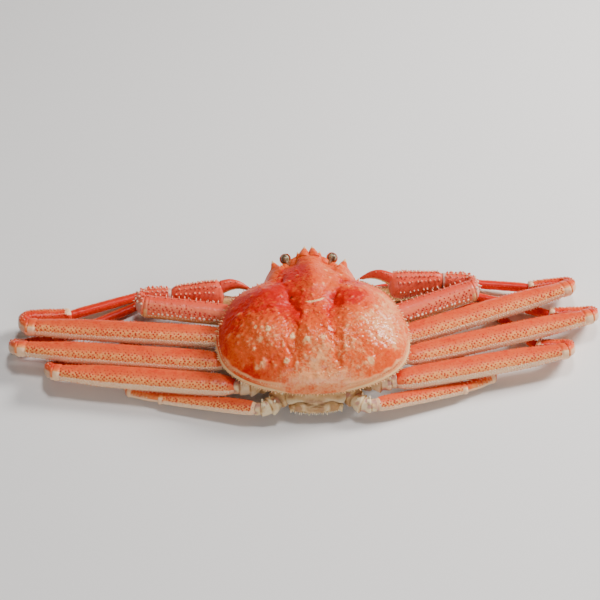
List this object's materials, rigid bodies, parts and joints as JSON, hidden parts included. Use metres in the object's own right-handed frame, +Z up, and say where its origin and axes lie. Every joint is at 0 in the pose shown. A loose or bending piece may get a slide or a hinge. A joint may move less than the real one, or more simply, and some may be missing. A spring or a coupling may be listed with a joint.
{
  "type": "tanner crab",
  "caption": "Life-size tanner crab with a domed warty shell, long folded walking legs and spiny claws, lying on its belly.",
  "frame": {"origin": "middle of the flat of the belly, at the level that the crab rests on", "axes": "+X to the crab's right, +Y forward along the body's middle line to the rostrum, +Z up"},
  "size_m": [0.3543, 0.1152, 0.047],
  "materials": {
    "shell": "wet glossy orange-red shell with pale granules",
    "leg_shell": "glossy orange-pink shell with rows of darker dots and a cream rear edge",
    "claw_shell": "glossy pink-red shell with pale spines",
    "underside": "satin cream shell with translucent joint skin",
    "eye": "polished dark eye"
  },
  "bodies": {
    "root": {"carapace": "shell", "thorax": "underside", "abdomen": "underside", "abdomen_flap": "underside", "eye_left": "eye", "eye_right": "eye", "antenna_left": "claw_shell", "antenna_right": "claw_shell", "maxilliped_left": "underside", "maxilliped_right": "underside", "claw_left_base": "underside", "claw_left_merus": "claw_shell", "claw_left_carpus": "claw_shell", "claw_left_palm": "claw_shell", "claw_left_finger": "claw_shell", "leg_left_1_base": "underside", "leg_left_1_merus": "leg_shell", "leg_left_1_carpus": "leg_shell", "leg_left_1_propodus": "leg_shell", "leg_left_1_dactyl": "leg_shell", "leg_left_2_base": "underside", "leg_left_2_merus": "leg_shell", "leg_left_2_carpus": "leg_shell", "leg_left_2_propodus": "leg_shell", "leg_left_2_dactyl": "leg_shell", "leg_left_3_base": "underside", "leg_left_3_merus": "leg_shell", "leg_left_3_carpus": "leg_shell", "leg_left_3_propodus": "leg_shell", "leg_left_3_dactyl": "leg_shell", "leg_left_4_base": "underside", "leg_left_4_merus": "leg_shell", "leg_left_4_carpus": "leg_shell", "leg_left_4_propodus": "leg_shell", "leg_left_4_dactyl": "leg_shell", "claw_right_base": "underside", "claw_right_merus": "claw_shell", "claw_right_carpus": "claw_shell", "claw_right_palm": "claw_shell", "claw_right_finger": "claw_shell", "leg_right_1_base": "underside", "leg_right_1_merus": "leg_shell", "leg_right_1_carpus": "leg_shell", "leg_right_1_propodus": "leg_shell", "leg_right_1_dactyl": "leg_shell", "leg_right_2_base": "underside", "leg_right_2_merus": "leg_shell", "leg_right_2_carpus": "leg_shell", "leg_right_2_propodus": "leg_shell", "leg_right_2_dactyl": "leg_shell", "leg_right_3_base": "underside", "leg_right_3_merus": "leg_shell", "leg_right_3_carpus": "leg_shell", "leg_right_3_propodus": "leg_shell", "leg_right_3_dactyl": "leg_shell", "leg_right_4_base": "underside", "leg_right_4_merus": "leg_shell", "leg_right_4_carpus": "leg_shell", "leg_right_4_propodus": "leg_shell", "leg_right_4_dactyl": "leg_shell"}
  },
  "joints": []
}
